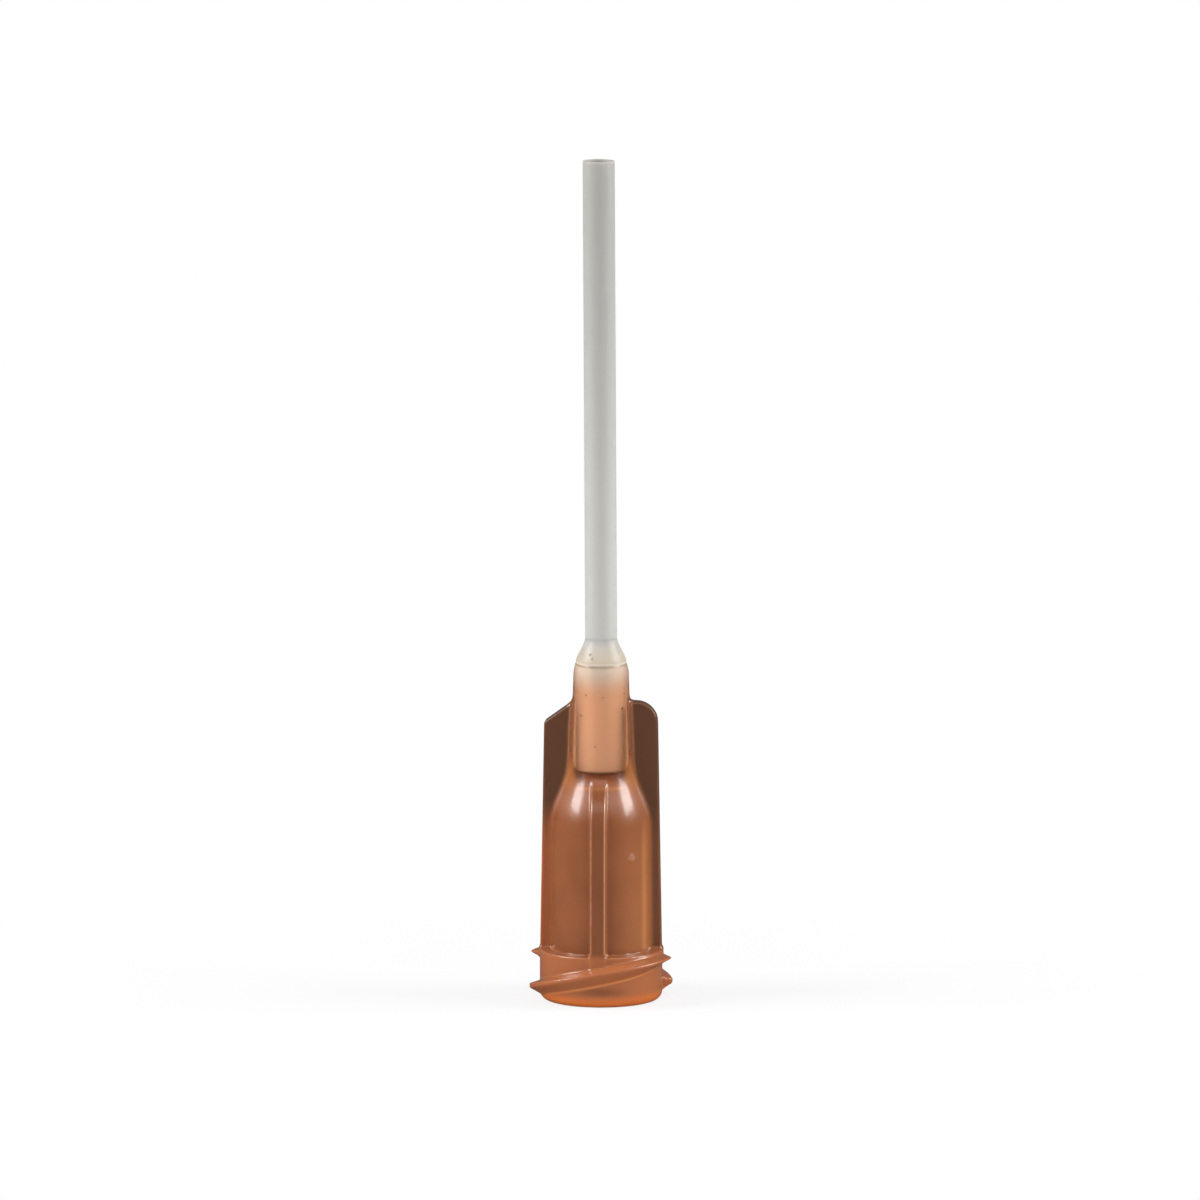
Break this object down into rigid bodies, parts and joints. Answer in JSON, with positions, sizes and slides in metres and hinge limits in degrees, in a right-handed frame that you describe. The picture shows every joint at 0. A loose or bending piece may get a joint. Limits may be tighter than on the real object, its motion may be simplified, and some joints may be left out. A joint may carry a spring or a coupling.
{
  "type": "dispensing needle tip",
  "caption": "Flexible plastic dispensing tip: an amber hub with a tapered socket, lock thread and grip wings, and a straight milky tube bonded into its neck.",
  "frame": {"origin": "centre of the hub's mouth face, which the tip stands on", "axes": "+Z along the tube to the outlet, +X toward the wing with the rounded top, -Y the face with the rib seen from the front"},
  "size_m": [0.0076, 0.0078, 0.045],
  "materials": {
    "amber_plastic": "translucent, moulded, satin",
    "milky_plastic": "natural, translucent, satin",
    "cured_adhesive": "translucent, glossy, with small bubbles"
  },
  "bodies": {
    "root": {"hub": "amber_plastic", "tube": "milky_plastic", "adhesive_bead": "cured_adhesive"}
  },
  "joints": []
}
